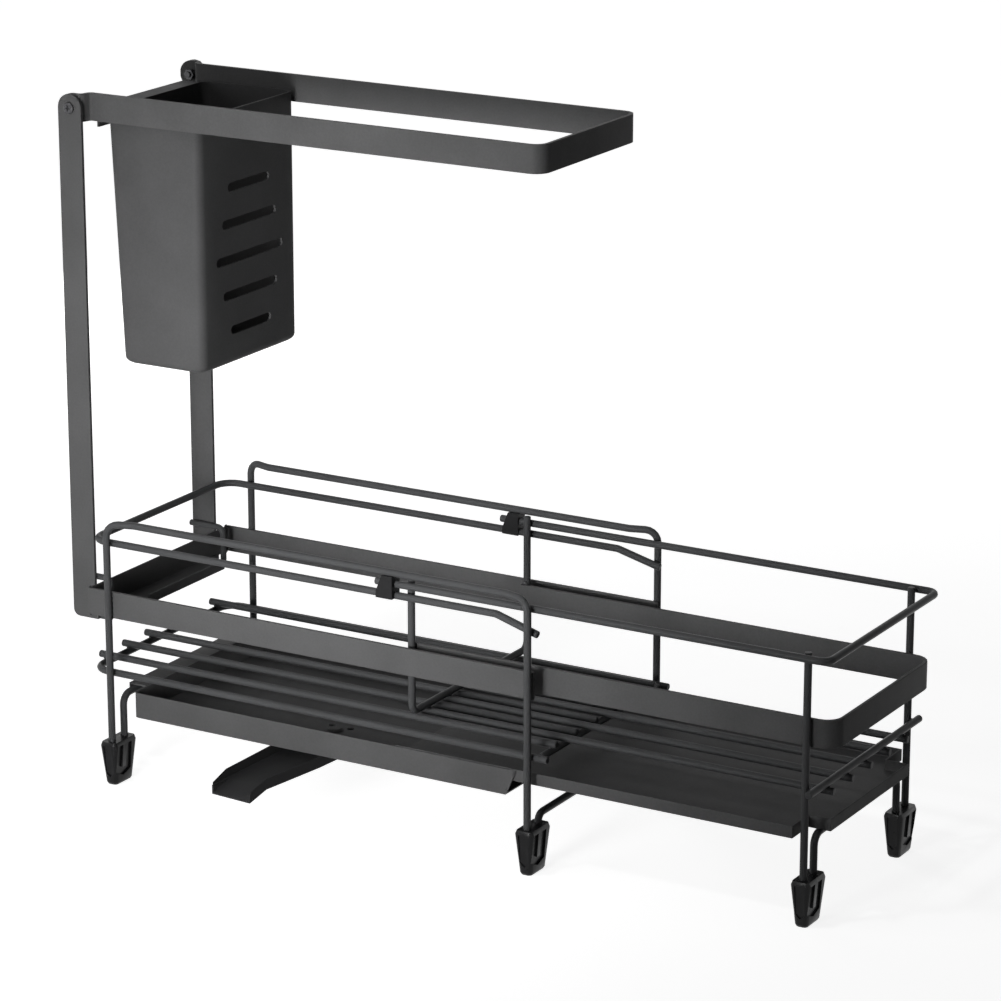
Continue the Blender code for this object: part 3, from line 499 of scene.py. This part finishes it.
def cut_recess(obj, node, outward):
    """Cuts a cross recess into a dressed screw's head, and applies the modifiers."""
    low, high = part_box(node)
    face = high.y if outward > 0 else low.y
    cutter = cross_cutter(Vector(((low.x + high.x) / 2, face, (low.z + high.z) / 2)), outward)
    obj.modifiers["eased_edges"].width = RECESS_EDGE
    modifier = obj.modifiers.new("recess", "BOOLEAN")
    modifier.operation = "DIFFERENCE"
    modifier.solver = "EXACT"
    modifier.use_self = True
    modifier.object = cutter
    obj.modifiers.move(len(obj.modifiers) - 1, 0)
    bpy.context.view_layer.update()
    evaluated = obj.evaluated_get(bpy.context.evaluated_depsgraph_get())
    shape = bpy.data.meshes.new_from_object(evaluated)
    obj.modifiers.clear()
    old, obj.data = obj.data, shape
    bpy.data.meshes.remove(old)
    tool = cutter.data
    bpy.data.objects.remove(cutter)
    bpy.data.meshes.remove(tool)


def organizer():
    for node in sorted(frame["nodes"]):
        obj = dress(node)
        if node in RECESSED:
            cut_recess(obj, node, RECESSED[node])
    weld_beads()


def seen_directly(tree):
    """One for rays from the camera, a gloss or a glass; zero for rays that light the object."""
    path = tree.nodes.new("ShaderNodeLightPath")
    first = tree.nodes.new("ShaderNodeMath")
    first.operation = "MAXIMUM"
    link(tree, path.outputs["Is Camera Ray"], first.inputs[0])
    link(tree, path.outputs["Is Glossy Ray"], first.inputs[1])
    second = tree.nodes.new("ShaderNodeMath")
    second.operation = "MAXIMUM"
    link(tree, first.outputs[0], second.inputs[0])
    link(tree, path.outputs["Is Transmission Ray"], second.inputs[1])
    return second.outputs[0]


def distance_glow(tree):
    """The floor's own light, which rises with the distance from the object."""
    place = tree.nodes.new("ShaderNodeTexCoord")
    away = tree.nodes.new("ShaderNodeVectorMath")
    away.operation = "LENGTH"
    link(tree, place.outputs["Object"], away.inputs[0])
    glow = tree.nodes.new("ShaderNodeMapRange")
    glow.interpolation_type = "SMOOTHSTEP"
    glow.inputs["From Min"].default_value = GLOW_START
    glow.inputs["From Max"].default_value = GLOW_END
    glow.inputs["To Min"].default_value = FLOOR_GLOW_NEAR
    glow.inputs["To Max"].default_value = FLOOR_GLOW_FAR
    link(tree, away.outputs["Value"], glow.inputs["Value"])
    return glow.outputs["Result"]


def floor_white():
    """A pale surface that takes shadows, and that cameras, gloss and glass see as near white."""
    made, tree, shader = new_material("floor_white")
    shader.inputs["Roughness"].default_value = FLOOR_ROUGHNESS
    shader.inputs["Specular IOR Level"].default_value = 0.0
    colour = ramp(tree, noise(tree, FLOOR_WAVES), FLOOR_DARK, FLOOR_LIGHT)
    link(tree, colour, shader.inputs["Base Color"])
    scaled = tree.nodes.new("ShaderNodeMath")
    scaled.operation = "MULTIPLY"
    link(tree, seen_directly(tree), scaled.inputs[0])
    link(tree, distance_glow(tree), scaled.inputs[1])
    shader.inputs["Emission Color"].default_value = WHITE
    link(tree, scaled.outputs[0], shader.inputs["Emission Strength"])
    return made


def floor():
    bm = bmesh.new()
    bmesh.ops.create_grid(bm, x_segments=FLOOR_CELLS, y_segments=FLOOR_CELLS, size=FLOOR_SIZE / 2)
    mesh = add_mesh("studio_floor", bm)
    mesh.materials.append(floor_white())
    obj = add_object("studio_floor", mesh)
    obj.location.z = -FLOOR_DROP


def world():
    """Even pale light, and white where the camera, gloss or glass looks past the floor."""
    made = bpy.data.worlds.new("studio")
    bpy.context.scene.world = made
    made.use_nodes = True
    tree = made.node_tree
    plain = tree.nodes["Background"]
    plain.inputs["Color"].default_value = WORLD_COLOUR
    plain.inputs["Strength"].default_value = WORLD_LEVEL
    white = tree.nodes.new("ShaderNodeBackground")
    white.inputs["Color"].default_value = WHITE
    white.inputs["Strength"].default_value = 1.0
    mix = tree.nodes.new("ShaderNodeMixShader")
    link(tree, seen_directly(tree), mix.inputs["Fac"])
    link(tree, plain.outputs["Background"], mix.inputs[1])
    link(tree, white.outputs["Background"], mix.inputs[2])
    link(tree, mix.outputs["Shader"], tree.nodes["World Output"].inputs["Surface"])


def softbox(lamp):
    """A rectangular lamp, which the camera doesn't see."""
    light = bpy.data.lights.new(lamp.name, "AREA")
    light.shape = "RECTANGLE"
    light.size, light.size_y = lamp.size
    light.energy = lamp.watts
    light.spread = math.radians(lamp.spread)
    obj = add_object(lamp.name, light)
    obj.location = Vector(lamp.place)
    obj.visible_camera = False
    obj.visible_glossy = lamp.mirrored
    obj.rotation_mode = "QUATERNION"
    view = Vector(lamp.aim) - Vector(lamp.place)
    obj.rotation_quaternion = view.to_track_quat("-Z", "Y")


def camera():
    data = bpy.data.cameras.new("camera")
    data.sensor_width = SENSOR_MM
    data.lens = LENS_MM
    data.clip_end = CAMERA_REACH
    obj = add_object("camera", data)
    sideways, down = math.cos(CAMERA_PITCH), math.sin(CAMERA_PITCH)
    view = Vector((-math.sin(CAMERA_YAW) * sideways, math.cos(CAMERA_YAW) * sideways, -down))
    obj.location = CAMERA_AIM - view * CAMERA_DISTANCE
    obj.rotation_mode = "QUATERNION"
    obj.rotation_quaternion = view.to_track_quat("-Z", "Y")
    bpy.context.scene.camera = obj


bpy.context.scene.view_settings.view_transform = "Standard"
world()
floor()
for lamp in LAMPS:
    softbox(lamp)
camera()
organizer()
